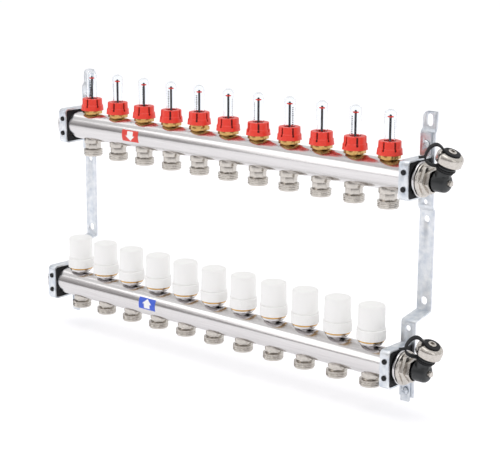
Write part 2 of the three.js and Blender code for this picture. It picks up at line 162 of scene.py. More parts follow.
def settle(piece, at=(0, 0, 0), turn=(0, 0, 0)):
    """Turns and moves a piece, in degrees and millimetres, and keeps its place in its mesh."""
    piece.rotation_euler = [math.radians(angle) for angle in turn]
    piece.location = Vector(at) * MM
    return keep_place(piece)


def soften(piece, width, segments=2, angle=35):
    """Rounds the edges that are sharper than an angle, and shades the rest smooth."""
    take_up(piece)
    if width:
        bevel = piece.modifiers.new("edges", "BEVEL")
        bevel.width = width * MM
        bevel.segments = segments
        bevel.angle_limit = math.radians(angle)
        bpy.ops.object.modifier_apply(modifier=bevel.name)
    bpy.ops.object.shade_smooth_by_angle(angle=math.radians(angle))
    return piece


def finish(piece, material, body, *nodes):
    """Gives a piece its material and its body, and the CAD nodes it stands for."""
    if not piece.data.materials:
        piece.data.materials.append(material)
    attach(piece, body)
    if nodes:
        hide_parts(*nodes)
    return piece


# Stainless steel, grade 304, drawn and line polished: metal, with lines a few hundredths of a
# millimetre wide along the bar. They are drawn 0.8 mm wide so that they show.
stainless, shader, place = new_material("drawn_stainless_steel", {"Metallic": 1.0})
lines = add_node(stainless, "ShaderNodeMapping", {"Scale": (0.02, 1.2, 1.2)}, Vector=place)
grain = add_node(stainless, "ShaderNodeTexNoise", {"Scale": 1.0, "Detail": 4.0},
                 Vector=lines.outputs["Vector"])
tone = add_node(stainless, "ShaderNodeValToRGB", {}, Fac=grain.outputs["Fac"])
tone.color_ramp.elements[0].color = linear("#c2bfbf")
tone.color_ramp.elements[1].color = linear("#e4e2e2")
shade_with(stainless, shader, "Base Color", tone.outputs["Color"])
gloss = add_node(stainless, "ShaderNodeMapRange", {"To Min": 0.12, "To Max": 0.26},
                 Value=grain.outputs["Fac"])
shade_with(stainless, shader, "Roughness", gloss.outputs["Result"])
relief = add_node(stainless, "ShaderNodeBump", {"Strength": 0.12, "Distance": 0.00002},
                  Height=grain.outputs["Fac"])
shade_with(stainless, shader, "Normal", relief.outputs["Normal"])

bars = {}
for line in ("supply", "return"):
    low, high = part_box(line + "_bar")
    axis = middle(line + "_end_plug")
    start, end = low.x / MM, high.x / MM
    bars[line] = {"y": axis.y, "z": axis.z, "start": start, "end": end}
    length = end - start
    tube = turned(line + "_tube", [
        (SOCKET_RADIUS, 0),
        (COLLAR_RADIUS, 0),
        (COLLAR_RADIUS, COLLAR_LENGTH),
        (TUBE_RADIUS, COLLAR_LENGTH),
        (TUBE_RADIUS, length - COLLAR_LENGTH),
        (COLLAR_RADIUS, length - COLLAR_LENGTH),
        (COLLAR_RADIUS, length),
        (SOCKET_RADIUS, length),
        (SOCKET_RADIUS, length - SOCKET_LENGTH),
        (TUBE_BORE, length - SOCKET_LENGTH),
        (TUBE_BORE, SOCKET_LENGTH),
        (SOCKET_RADIUS, SOCKET_LENGTH),
        (SOCKET_RADIUS, 0),
    ], 96)
    settle(tube, (start, axis.y, axis.z), (0, 90, 0))
    finish(soften(tube, 0.5), stainless, "frame", line + "_bar")

# ---- Outlet nipples
# A threaded brass nipple under each bar for every loop, nickel plated. A short round neck is pressed
# into the tube, then come flats for a spanner and the male thread that takes the loop's union nut.
# The tube is bored through under each nipple, and above it for the meter or the valve.
THREAD_RADIUS = 13.2
THREAD_DEPTH = 0.9
THREAD_PITCH = 1.8
NIPPLE_BORE = 8.0
NIPPLE_TURN = 15
TOP_HOLE_RADIUS = 6.5
loops = [f"{number:02d}" for number in range(1, 12)]

# Nickel plate over turned brass: a warm, pale metal, clouded and a little dull.
nickel, shader, place = new_material("nickel_plate", {"Metallic": 1.0})
cloud = add_node(nickel, "ShaderNodeTexNoise", {"Scale": 0.35, "Detail": 3.0}, Vector=place)
tone = add_node(nickel, "ShaderNodeValToRGB", {}, Fac=cloud.outputs["Fac"])
tone.color_ramp.elements[0].color = linear("#b0aaa2")
tone.color_ramp.elements[1].color = linear("#ddd8d2")
shade_with(nickel, shader, "Base Color", tone.outputs["Color"])
gloss = add_node(nickel, "ShaderNodeMapRange", {"To Min": 0.18, "To Max": 0.32},
                 Value=cloud.outputs["Fac"])
shade_with(nickel, shader, "Roughness", gloss.outputs["Result"])


def prism(name, sides, radius, bottom, top):
    """A prism about Z, or a cylinder where the sides are many, from a bottom to a top height."""
    alone()
    bpy.ops.mesh.primitive_cylinder_add(
        vertices=sides, radius=radius * MM, depth=(top - bottom) * MM,
        location=(0, 0, (top + bottom) / 2 * MM))
    piece = bpy.context.object
    piece.name = piece.data.name = name
    return keep_place(piece)


def joined(name, pieces):
    """Several pieces as one object."""
    alone()
    for piece in pieces:
        piece.select_set(True)
    bpy.context.view_layer.objects.active = pieces[0]
    bpy.ops.object.join()
    pieces[0].name = pieces[0].data.name = name
    return pieces[0]


def copy_to(piece, name, at, turn=(0, 0, 0)):
    """A copy with its own mesh, turned and moved to its place."""
    copy = piece.copy()
    copy.data = piece.data.copy()
    copy.name = copy.data.name = name
    bpy.context.scene.collection.objects.link(copy)
    return settle(copy, at, turn)


def threaded(radius, bottom, top):
    """The outline of a male thread's ridges from top to bottom, as (radius, height) points."""
    count = int((top - bottom) / THREAD_PITCH)
    points = []
    for ridge in range(count):
        height = top - ridge * (top - bottom) / count
        points.append((radius - THREAD_DEPTH, height))
        points.append((radius, height - THREAD_PITCH * 0.4))
        points.append((radius, height - THREAD_PITCH * 0.6))
    return points + [(radius - THREAD_DEPTH, bottom)]


def cut(piece, cutter):
    """Cuts one piece out of another and removes the cutter."""
    take_up(piece)
    hole = piece.modifiers.new("hole", "BOOLEAN")
    hole.operation = "DIFFERENCE"
    hole.solver = "EXACT"
    hole.object = cutter
    bpy.ops.object.modifier_apply(modifier=hole.name)
    bpy.data.objects.remove(cutter)
    return piece


nipples = {
    "supply": {"neck": 12.0, "body": 10.8, "neck_end": 22.0, "body_end": 31.0, "end": 40.0},
    "return": {"neck": 10.75, "body": 10.4, "neck_end": 20.5, "body_end": 24.1, "end": 32.5},
}
for line, size in nipples.items():
    bottom = -size["end"]
    ring = turned("nipple", [
        (NIPPLE_BORE, -15),
        (size["neck"], -15),
        (size["neck"], -size["neck_end"]),
        (size["body"] - 1.5, -size["neck_end"]),
        (size["body"] - 1.5, -size["body_end"]),
        (THREAD_RADIUS, -size["body_end"]),
        (THREAD_RADIUS, -size["body_end"] - 1),
        *threaded(THREAD_RADIUS, bottom + 1, -size["body_end"] - 1),
        (THREAD_RADIUS - THREAD_DEPTH, bottom),
        (NIPPLE_BORE, bottom),
        (NIPPLE_BORE, -15),
    ], 48)
    flats = prism("flats", 6, size["body"], -size["body_end"] - 0.5, -size["neck_end"] + 0.5)
    cut(soften(flats, 0.4), prism("bore", 32, NIPPLE_BORE + 0.3, -50, -10))
    master = joined("nipple", [soften(ring, 0.25), flats])
    bar = bars[line]
    holes = []
    for loop in loops:
        x = middle("flow_head_" + loop).x
        for radius, foot, head in ((NIPPLE_BORE, -21, -12), (TOP_HOLE_RADIUS, 12, 21)):
            hole = prism("hole", 32, radius, foot, head)
            holes.append(settle(hole, (x, bar["y"], bar["z"])))
    cut(bpy.data.objects[line + "_tube"], joined("holes", holes))
    for loop in loops:
        x = middle("flow_head_" + loop).x
        nipple = copy_to(master, f"{line}_nipple_{loop}", (x, bar["y"], bar["z"]), (0, 0, NIPPLE_TURN))
        finish(nipple, nickel, "frame")
    bpy.data.objects.remove(master)

# ---- Flow meter seats
# A brass hexagon screwed into the top of the supply bar for each loop, and bored for the indicator's
# rod. The red ring turns on the thread above it.
SEAT_CORNER = 13.6
SEAT_BORE = 2.0
SEAT_FOOT = 18.6
SEAT_TOP = 23.5
SEAT_NECK = 7.0
SEAT_THREAD = 12.2
SEAT_THREAD_TOP = 28.0
SEAT_TURN = 8

# Turned brass, unplated: yellow metal with a soft shine.
brass, shader, place = new_material("turned_brass", {"Metallic": 1.0, "Roughness": 0.26})
cloud = add_node(brass, "ShaderNodeTexNoise", {"Scale": 0.5, "Detail": 3.0}, Vector=place)
tone = add_node(brass, "ShaderNodeValToRGB", {}, Fac=cloud.outputs["Fac"])
tone.color_ramp.elements[0].color = linear("#b08549")
tone.color_ramp.elements[1].color = linear("#dcb677")
shade_with(brass, shader, "Base Color", tone.outputs["Color"])

hexagon = prism("seat", 6, SEAT_CORNER, SEAT_FOOT, SEAT_TOP)
cut(soften(hexagon, 0.6), prism("bore", 24, SEAT_BORE + 0.3, SEAT_FOOT - 1, SEAT_TOP + 1))
thread = turned("thread", [
    (SEAT_BORE, 12),
    (SEAT_NECK, 12),
    (SEAT_NECK, SEAT_FOOT + 0.5),
    (SEAT_THREAD, SEAT_FOOT + 0.5),
    (SEAT_THREAD, SEAT_THREAD_TOP),
    (SEAT_BORE, SEAT_THREAD_TOP),
    (SEAT_BORE, 12),
], 48)
master = joined("seat", [hexagon, soften(thread, 0.3)])
for loop in loops:
    head = middle("flow_head_" + loop)
    at = (head.x, bars["supply"]["y"], bars["supply"]["z"])
    seat = copy_to(master, "meter_seat_" + loop, at, (0, 0, SEAT_TURN))
    finish(seat, brass, "frame")
bpy.data.objects.remove(master)

# ---- Red flow rings
# A moulded nylon ring on each flow meter, turned by hand to set the loop's flow. Six grip slits run
# down from its top edge, and its skirt widens over the brass hexagon. Each is set to its own angle,
# and the fifth loop's ring is screwed a little higher.
RING_BOTTOM = 23.7
RING_TOP = 39.7
RING_STEP = 31.0
SLIT_END = 28.0
SLIT_DEPTH = 1.6
SLIT_COUNT = 6
FIRST_SLIT = 18
RING_STEPS = 36
ring_turns = dict(zip(loops, (24, 30, 22, -15, 36, 8, -12, 5, 20, -6, 10)))
ring_lifts = {"05": 2.4}

# Glass-filled nylon, moulded in bright red: a low sheen over a fine spark-eroded grain.
red, shader, place = new_material("red_moulded_nylon", {"Roughness": 0.38, "IOR": 1.53})
grain = add_node(red, "ShaderNodeTexNoise", {"Scale": 1.6, "Detail": 4.0}, Vector=place)
tone = add_node(red, "ShaderNodeValToRGB", {}, Fac=grain.outputs["Fac"])
tone.color_ramp.elements[0].color = linear("#ea3022")
tone.color_ramp.elements[1].color = linear("#f64a38")
shade_with(red, shader, "Base Color", tone.outputs["Color"])
relief = add_node(red, "ShaderNodeBump", {"Strength": 0.25, "Distance": 0.00006},
                  Height=grain.outputs["Fac"])
shade_with(red, shader, "Normal", relief.outputs["Normal"])

# The same nylon at the bottom of a slit, painted a dark red to stand in for the shade in the slit's recess.
# The noise only varies that painted shade.
slit_shade_red, shader, place = new_material("red_nylon_painted_slit_shade", {"Roughness": 0.7})
shade_mottle = add_node(slit_shade_red, "ShaderNodeTexNoise", {"Scale": 1.2, "Detail": 2.0}, Vector=place)
tone = add_node(slit_shade_red, "ShaderNodeValToRGB", {}, Fac=shade_mottle.outputs["Fac"])
tone.color_ramp.elements[0].color = linear("#2e0605")
tone.color_ramp.elements[1].color = linear("#5a0e0b")
shade_with(slit_shade_red, shader, "Base Color", tone.outputs["Color"])


def pick_faces(piece, wanted):
    """Into edit mode with the faces selected whose middle (in millimetres) and normal are wanted."""
    take_up(piece)
    bpy.ops.object.mode_set(mode="EDIT")
    bpy.context.tool_settings.mesh_select_mode = (False, False, True)
    bpy.ops.mesh.select_all(action="DESELECT")
    bpy.ops.object.mode_set(mode="OBJECT")
    for face in piece.data.polygons:
        face.select = bool(wanted(face.center / MM, face.normal))
    bpy.ops.object.mode_set(mode="EDIT")


def column(centre, count):
    """Which of a turned piece's columns of faces, out of count, this face's middle is in."""
    return int((math.atan2(centre.y, centre.x) % FULL_TURN) / FULL_TURN * count)


master = turned("ring", [
    (12.4, RING_BOTTOM),
    (15.6, RING_BOTTOM),
    (15.3, RING_BOTTOM + 1.5),
    (15.0, SLIT_END),
    (14.8, RING_STEP - 0.5),
    (13.8, RING_STEP + 0.3),
    (13.5, RING_TOP - 0.5),
    (13.0, RING_TOP),
    (7.2, RING_TOP),
    (7.2, RING_STEP),
    (12.4, RING_STEP),
    (12.4, RING_BOTTOM),
], RING_STEPS)
master.data.materials.append(red)
master.data.materials.append(slit_shade_red)
pick_faces(master, lambda at, normal: (
    at.z > SLIT_END
    and at.xy.length > 12.6
    and column(at, RING_STEPS) % (RING_STEPS // SLIT_COUNT) == 0
))
bpy.ops.mesh.extrude_region_shrink_fatten(TRANSFORM_OT_shrink_fatten={"value": -SLIT_DEPTH * MM})
# The slit bottoms take the dark red that is painted shade.
master.active_material_index = 1
bpy.ops.object.material_slot_assign()
soften(master, 0.22, 2, 40)
for loop in loops:
    node = "flow_head_" + loop
    at = (middle(node).x, bars["supply"]["y"], bars["supply"]["z"] + ring_lifts.get(loop, 0))
    ring = copy_to(master, "flow_ring_" + loop, at, (0, 0, FIRST_SLIT + ring_turns[loop]))
    finish(ring, red, node, node)
bpy.data.objects.remove(master)

# ---- Sight glasses
# A clear tube with a closed, rounded top that is screwed into each red ring. Short black marks up
# its inside are the flow scale.
GLASS_RADIUS = 7.0
GLASS_WALL = 1.6
GLASS_TOP = 77.7
GLASS_SEAT = 38.6
MARK_PITCH = 2.3
MARK_COUNT = 10
FIRST_MARK = 42.5
SCALE_TURN = -50

# Clear polycarbonate, moulded and polished: light goes through, and the edges catch it. The plastic's
# own IOR is 1.58. It is set far lower here, so that the thin tube's outline stays faint.
glass, shader, place = new_material("clear_polycarbonate", {
    "Base Color": linear("#fbfdff"), "IOR": 1.12, "Transmission Weight": 1.0})
haze = add_node(glass, "ShaderNodeTexNoise", {"Scale": 0.4, "Detail": 2.0}, Vector=place)
gloss = add_node(glass, "ShaderNodeMapRange", {"To Min": 0.0, "To Max": 0.06},
                 Value=haze.outputs["Fac"])
shade_with(glass, shader, "Roughness", gloss.outputs["Result"])

# Pad-printed black ink: thin and matt, with a slightly uneven edge.
ink, shader, place = new_material("black_print", {"Roughness": 0.6})
speck = add_node(ink, "ShaderNodeTexNoise", {"Scale": 2.0, "Detail": 2.0}, Vector=place)
tone = add_node(ink, "ShaderNodeValToRGB", {}, Fac=speck.outputs["Fac"])
tone.color_ramp.elements[0].color = linear("#0e0e10")
tone.color_ramp.elements[1].color = linear("#2b2b2e")
shade_with(ink, shader, "Base Color", tone.outputs["Color"])

inner = GLASS_RADIUS - GLASS_WALL
master = turned("glass", [
    (inner, GLASS_SEAT),
    (GLASS_RADIUS, GLASS_SEAT),
    (GLASS_RADIUS, GLASS_TOP - 4.5),
    (GLASS_RADIUS - 0.7, GLASS_TOP - 2.3),
    (GLASS_RADIUS - 2.4, GLASS_TOP - 0.7),
    (GLASS_RADIUS - 4.6, GLASS_TOP),
    (0, GLASS_TOP),
    (0, GLASS_TOP - GLASS_WALL),
    (inner - 2.6, GLASS_TOP - GLASS_WALL - 0.2),
    (inner - 0.8, GLASS_TOP - GLASS_WALL - 1.6),
    (inner, GLASS_TOP - GLASS_WALL - 3.4),
    (inner, GLASS_SEAT),
], 40)
soften(master, 0, angle=50)
marks = []
for step in range(MARK_COUNT):
    alone()
    height = FIRST_MARK + step * MARK_PITCH
    bpy.ops.mesh.primitive_cube_add(size=MM, location=Vector((inner - 0.25, 0, height)) * MM)
    mark = bpy.context.object
    mark.scale = (0.3, 2.6 if step % 5 == 0 else 1.9, 1.3)
    marks.append(soften(keep_place(mark), 0.1, 1))
scale_marks = joined("marks", marks)
for loop in loops:
    node = "flow_head_" + loop
    at = (middle(node).x, bars["supply"]["y"], bars["supply"]["z"])
    tube = copy_to(master, "sight_glass_" + loop, at)
    finish(tube, glass, node, node)
    printed = copy_to(scale_marks, "flow_scale_" + loop, at, (0, 0, SCALE_TURN + 9 * ring_turns[loop]))
    finish(printed, ink, node)
bpy.data.objects.remove(master)
bpy.data.objects.remove(scale_marks)

# ---- Flow indicators
# A spring-loaded rod through each glass. The flow pulls the disc at its foot down inside the bar,
# and the red cross on its tip shows how far against the scale.
ROD_RADIUS = 1.4
CROSS_BOTTOM = 67.0
CROSS_TOP = 68.5
ROD_TOP = 70.4
CROSS_REACH = 3.7
CROSS_TURN = 20
DISC_RADIUS = 4.6

# Acetal, moulded in dark grey: smooth and faintly waxy.
acetal, shader, place = new_material("grey_acetal", {"Roughness": 0.42})
cloud = add_node(acetal, "ShaderNodeTexNoise", {"Scale": 0.8, "Detail": 2.0}, Vector=place)
tone = add_node(acetal, "ShaderNodeValToRGB", {}, Fac=cloud.outputs["Fac"])
tone.color_ramp.elements[0].color = linear("#2c2c2e")
tone.color_ramp.elements[1].color = linear("#4a4a4d")
shade_with(acetal, shader, "Base Color", tone.outputs["Color"])

stem = turned("rod", [
    (0, -5.5),
    (DISC_RADIUS, -5.5),
    (DISC_RADIUS, -4),
    (ROD_RADIUS, -3.4),
    (ROD_RADIUS, ROD_TOP - 0.8),
    (ROD_RADIUS * 0.6, ROD_TOP),
    (0, ROD_TOP),
], 24)
stem.data.materials.append(acetal)
arms = []
for turn in (0, 90):
    arm = prism("arm", 4, CROSS_REACH, CROSS_BOTTOM, CROSS_TOP)
    settle(arm, (0, 0, 0), (0, 0, 45))
    arm.scale = (1.35, 0.42, 1)
    settle(arm, (0, 0, 0), (0, 0, turn))
    arm.data.materials.append(red)
    arms.append(soften(arm, 0.35))
master = joined("indicator", [soften(stem, 0.2), *arms])
for loop in loops:
    node = "flow_indicator_" + loop
    at = (middle("flow_head_" + loop).x, bars["supply"]["y"], bars["supply"]["z"])
    indicator = copy_to(master, "indicator_" + loop, at, (0, 0, CROSS_TURN))
    finish(indicator, acetal, node, node)
bpy.data.objects.remove(master)

# ---- Valve inserts
# A stainless valve body screwed into the top of the return bar for each loop, with a thin brass ring
# on its collar and a thread above it that the protecting cap is screwed on.
INSERT_RADIUS = 7.5
INSERT_TOP = 22.0
COLLAR_TOP = 23.4
COLLAR_FOOT = 19.8
SHOULDER_RADIUS = 16.2
SHOULDER_TOP = 25.5
STUB_RADIUS = 11.8
STUB_TOP = 39.4

ridges = reversed(threaded(STUB_RADIUS + 0.2, INSERT_TOP + 1.9, STUB_TOP))
insert = soften(turned("insert", [
    (0, 12),
    (INSERT_RADIUS, 12),
    (INSERT_RADIUS, INSERT_TOP),
    (STUB_RADIUS, INSERT_TOP),
    *[(radius - 0.2, height) for radius, height in ridges],
    (0, STUB_TOP),
], 48), 0.2)
shoulder = soften(turned("shoulder", [
    (INSERT_RADIUS - 0.5, COLLAR_TOP),
    (SHOULDER_RADIUS, COLLAR_TOP),
    (SHOULDER_RADIUS, SHOULDER_TOP),
    (INSERT_RADIUS - 0.5, SHOULDER_TOP),
    (INSERT_RADIUS - 0.5, COLLAR_TOP),
], 64), 0.3)
collar = soften(turned("collar", [
    (INSERT_RADIUS - 0.5, COLLAR_FOOT),
    (SHOULDER_RADIUS - 2.2, COLLAR_FOOT),
    (SHOULDER_RADIUS - 1.0, COLLAR_FOOT + 1.6),
    (SHOULDER_RADIUS - 1.0, COLLAR_TOP),
    (INSERT_RADIUS - 0.5, COLLAR_TOP),
    (INSERT_RADIUS - 0.5, COLLAR_FOOT),
], 64), 0.3)

for loop in loops:
    at = (middle("valve_cap_" + loop).x, bars["return"]["y"], bars["return"]["z"])
    finish(copy_to(insert, "valve_insert_" + loop, at), stainless, "frame")
    finish(copy_to(shoulder, "valve_ring_" + loop, at), brass, "frame")
    finish(copy_to(collar, "valve_collar_" + loop, at), stainless, "frame")
for piece in (insert, shoulder, collar):
    bpy.data.objects.remove(piece)

# ---- Valve caps
# A white protecting cap screwed on each valve, turned by hand to shut the loop. A wider band with
# fine grip ribs runs round its foot, under a smooth body with a rounded top edge.
CAP_BOTTOM = 25.7
CAP_TOP = 68.0
BAND_TOP = 38.4
BAND_RADIUS = 17.75
CAP_RADIUS = 16.5
CAP_STEPS = 96

# ABS, moulded in white and left satin: bright, with a soft grain and a faint cream cast.
white, shader, place = new_material("white_moulded_abs", {"Roughness": 0.4, "IOR": 1.54})
grain = add_node(white, "ShaderNodeTexNoise", {"Scale": 2.2, "Detail": 3.0}, Vector=place)
tone = add_node(white, "ShaderNodeValToRGB", {}, Fac=grain.outputs["Fac"])
tone.color_ramp.elements[0].color = linear("#f6f5f3")
tone.color_ramp.elements[1].color = linear("#fefefd")
shade_with(white, shader, "Base Color", tone.outputs["Color"])
relief = add_node(white, "ShaderNodeBump", {"Strength": 0.15, "Distance": 0.00004},
                  Height=grain.outputs["Fac"])
shade_with(white, shader, "Normal", relief.outputs["Normal"])

master = turned("cap", [
    (0, STUB_TOP + 1),
    (12.4, STUB_TOP + 1),
    (12.4, CAP_BOTTOM),
    (BAND_RADIUS, CAP_BOTTOM),
    (BAND_RADIUS, CAP_BOTTOM + 2),
    (BAND_RADIUS, BAND_TOP - 1.6),
    (BAND_RADIUS, BAND_TOP),
    (CAP_RADIUS - 0.5, BAND_TOP + 0.4),
    (CAP_RADIUS - 0.5, BAND_TOP + 1.0),
    (CAP_RADIUS, BAND_TOP + 1.4),
    (CAP_RADIUS - 0.2, CAP_TOP - 2.6),
    (CAP_RADIUS - 0.9, CAP_TOP - 0.9),
    (CAP_RADIUS - 2.4, CAP_TOP - 0.1),
    (CAP_RADIUS - 4.5, CAP_TOP),
    (0, CAP_TOP),
], CAP_STEPS)
pick_faces(master, lambda at, normal: (
    CAP_BOTTOM + 2 < at.z < BAND_TOP - 1.6 and at.xy.length > CAP_RADIUS and column(at, CAP_STEPS) % 2
))
bpy.ops.mesh.extrude_region_shrink_fatten(TRANSFORM_OT_shrink_fatten={"value": -0.3 * MM})
soften(master, 0.15, 1, 40)
for loop in loops:
    node = "valve_cap_" + loop
    at = (middle(node).x, bars["return"]["y"], bars["return"]["z"])
    finish(copy_to(master, "cap_" + loop, at), white, node, node)
bpy.data.objects.remove(master)

# ---- Wall brackets
# Two strips of 2 mm steel, punched and bent, zinc plated. A round-ended pad with a slot is screwed to
# the wall above the supply bar, and the strip steps out again to carry the return bar further out.
PLATE = 2.0
PLATE_WIDTH = 20.0
STEP_OUT = 31.5
UPPER_JOGGLE = 4.0

# Bright zinc plate with a blue passivation: a cool metal with pale blue-grey clouds.
zinc, shader, place = new_material("blue_zinc_plate", {"Metallic": 1.0})
cloud = add_node(zinc, "ShaderNodeTexNoise", {"Scale": 0.12, "Detail": 5.0}, Vector=place)
tone = add_node(zinc, "ShaderNodeValToRGB", {}, Fac=cloud.outputs["Fac"])
tone.color_ramp.elements[0].position = 0.3
tone.color_ramp.elements[0].color = linear("#c6cdd6")
tone.color_ramp.elements[1].position = 0.7
tone.color_ramp.elements[1].color = linear("#eceef0")
shade_with(zinc, shader, "Base Color", tone.outputs["Color"])
gloss = add_node(zinc, "ShaderNodeMapRange", {"To Min": 0.34, "To Max": 0.5}, Value=cloud.outputs["Fac"])
shade_with(zinc, shader, "Roughness", gloss.outputs["Result"])


def strip(name, width, path, bend, corner=0):
    """A sheet as wide as given along X, drawn along a path of (y, z) points and bent at each."""
    piece = one_point(name, -width / 2, *path[0])
    bpy.ops.mesh.extrude_region_move(TRANSFORM_OT_translate={"value": (width * MM, 0, 0)})
    bpy.ops.mesh.select_all(action="SELECT")
    for (y, z), (next_y, next_z) in zip(path, path[1:]):
        move = Vector((0, next_y - y, next_z - z)) * MM
        bpy.ops.mesh.extrude_region_move(TRANSFORM_OT_translate={"value": move})
    if corner:
        bpy.ops.mesh.select_all(action="DESELECT")
        bpy.ops.object.mode_set(mode="OBJECT")
        for vertex in piece.data.vertices:
            vertex.select = vertex.index < 2
        bpy.ops.object.mode_set(mode="EDIT")
        bpy.ops.mesh.bevel(offset=corner * MM, segments=10, affect="VERTICES")
    bpy.ops.mesh.select_all(action="DESELECT")
    bpy.context.tool_settings.mesh_select_mode = (False, True, False)
    bpy.ops.object.mode_set(mode="OBJECT")
    at = [vertex.co for vertex in piece.data.vertices]
    ends = (Vector((0, *path[0])) * MM, Vector((0, *path[-1])) * MM)
    for edge in piece.data.edges:
        a, b = (at[index] for index in edge.vertices)
        centre = (a + b) / 2
        inside = min((centre - end).length for end in ends) > 0.5 * MM
        edge.select = abs(a.x - b.x) > (width - 0.1) * MM and inside
    if bend:
        bpy.ops.object.mode_set(mode="EDIT")
        bpy.ops.mesh.bevel(offset=bend * MM, segments=4)
        bpy.ops.object.mode_set(mode="OBJECT")
    return piece


def thicken(piece, thickness, offset):
    """Gives a sheet its thickness, on the side the offset's sign says."""
    take_up(piece)
    wall = piece.modifiers.new("wall", "SOLIDIFY")
    wall.thickness = thickness * MM
    wall.offset = offset
    wall.use_even_offset = True
    bpy.ops.object.modifier_apply(modifier=wall.name)
    return piece


def punch(piece, width, height, x, z, front, back):
    """Punches a round hole, or a round-ended slot where the height is more, through along Y."""
    tool = prism("punch", 24, width / 2, front, back)
    settle(tool, (0, 0, 0), (-90, 0, 0))
    stretch = (height - width) / 2 * MM
    for vertex in tool.data.vertices:
        vertex.co.z += math.copysign(stretch, vertex.co.z)
    return cut(piece, settle(tool, (x, 0, z)))


def punch_square(piece, width, height, x, z, front, back):
    """Punches a square-cornered slot through along Y."""
    alone()
    bpy.ops.mesh.primitive_cube_add(size=MM, location=(x * MM, (front + back) / 2 * MM, z * MM))
    tool = bpy.context.object
    tool.scale = (width, back - front, height)
    return cut(piece, keep_place(tool))


upper, lower = bars["supply"]["z"], bars["return"]["z"]
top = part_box("left_bracket")[1].z / MM
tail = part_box("left_bracket")[0].z / MM
plate = strip("bracket", PLATE_WIDTH, [
    (0, top),
    (0, upper + 54),
    (-UPPER_JOGGLE, upper + 50),
    (-UPPER_JOGGLE, upper - 38),
    (0, upper - 42),
    (0, lower + 54),
    (-STEP_OUT, lower + 48),
    (-STEP_OUT, tail),
], 1.8, 8.5)
master = thicken(plate, PLATE, -1)
punch(master, 8.5, 15, 0, upper + 64.5, -9, 5)
punch(master, 5.6, 5.6, 0, upper + 37, -12, 5)
punch_square(master, 9, 3, 0, upper - 22.5, -12, 5)
punch(master, 6, 6, 0, upper - 32, -12, 5)
punch(master, 8, 8, 0, upper - 53, -12, 5)
punch(master, 8.5, 10, 0, lower + 67, -12, 5)
punch(master, 7, 7, 0, lower + 40, -40, -20)
punch_square(master, 9, 3, 0, lower + 22.5, -40, -20)
punch(master, 5.6, 5.6, 0, lower - 37, -40, -20)
soften(master, 0.3, 2, 50)
for side in ("left", "right"):
    node = side + "_bracket"
    bracket = copy_to(master, side + "_plate", (middle(node).x, 0, 0))
    finish(bracket, zinc, "frame", node)
bpy.data.objects.remove(master)

# ---- Clamps
# Each bar end lies in a block of black rubber, pressed on the bracket by a bent steel strap. The
# strap hooks into a slot on one side of the bar and a cross-head screw draws its flange in on the other.
STRAP_WIDTH = 13.0
STRAP_INNER = 21.5
FLANGE_BACK = 23.7
FLANGE_END = 50.5
HOOK_END = 28.5
SADDLE_WIDTH = 12.4
PIN_HEIGHT = 10.0
SCREW_HEIGHT = 37.0

# EPDM rubber, moulded: deep black and matt, with a fine grain.
rubber, shader, place = new_material("black_epdm_rubber", {"Roughness": 0.62, "Specular IOR Level": 0.35})
grain = add_node(rubber, "ShaderNodeTexNoise", {"Scale": 3.0, "Detail": 3.0}, Vector=place)
tone = add_node(rubber, "ShaderNodeValToRGB", {}, Fac=grain.outputs["Fac"])
tone.color_ramp.elements[0].color = linear("#0b0c0e")
tone.color_ramp.elements[1].color = linear("#1c1d20")
shade_with(rubber, shader, "Base Color", tone.outputs["Color"])
relief = add_node(rubber, "ShaderNodeBump", {"Strength": 0.3, "Distance": 0.00008},
                  Height=grain.outputs["Fac"])
shade_with(rubber, shader, "Normal", relief.outputs["Normal"])

sheet = strip("strap", STRAP_WIDTH, [
    (FLANGE_BACK, FLANGE_END),
    (FLANGE_BACK, STRAP_INNER),
    (-STRAP_INNER, STRAP_INNER),
    (-STRAP_INNER, -STRAP_INNER),
    (HOOK_END, -STRAP_INNER),
], 3.4, 2.5)
strap = thicken(sheet, PLATE, -1)
punch(strap, 5.6, 5.6, 0, SCREW_HEIGHT, 15, 30)
for height in (PIN_HEIGHT, -PIN_HEIGHT):
    punch(strap, 5.6, 5.6, 0, height, -30, -15)
for side in (-1, 1):
    punch_square(strap, 3, 4, side * 5.6, -STRAP_INNER - 1, 20, 40)
soften(strap, 0.35, 2, 50)

alone()
bpy.ops.mesh.primitive_cube_add(size=MM)
block = bpy.context.object
block.scale = (SADDLE_WIDTH, FLANGE_BACK + STRAP_INNER - 0.6, 2 * STRAP_INNER - 0.6)
settle(block, (0, (FLANGE_BACK - STRAP_INNER) / 2, 0))
cut(block, settle(prism("seat", 64, TUBE_RADIUS + 0.1, -20, 20), (0, 0, 0), (0, 90, 0)))
soften(block, 1.2, 3, 50)
pins = []
for height in (PIN_HEIGHT, -PIN_HEIGHT):
    pin = turned("pin", [
        (0, 20), (2.5, 20), (2.5, 23.7), (3.25, 23.7), (3.1, 24.6), (2.4, 25.2), (0, 25.3)], 24)
    pins.append(soften(settle(pin, (0, 0, height), (90, 0, 0)), 0.15))
saddle = joined("saddle", [block, *pins])

screw = soften(turned("screw", [
    (0, -18.6),
    (1.6, -18.6),
    (3.6, -19.2),
    (4.5, -20.4),
    (4.5, -21.4),
    (2.3, -21.4),
    (2.3, -27.5),
    (0, -27.5),
], 32), 0.15)
for turn in (0, 90):
    alone()
    bpy.ops.mesh.primitive_cube_add(size=MM)
    tool = bpy.context.object
    tool.scale = (5.4, 1.1, 3.2)
    cut(screw, settle(keep_place(tool), (0, 0, -18.4), (0, 0, turn + 20)))
settle(screw, (0, 0, SCREW_HEIGHT), (90, 0, 0))

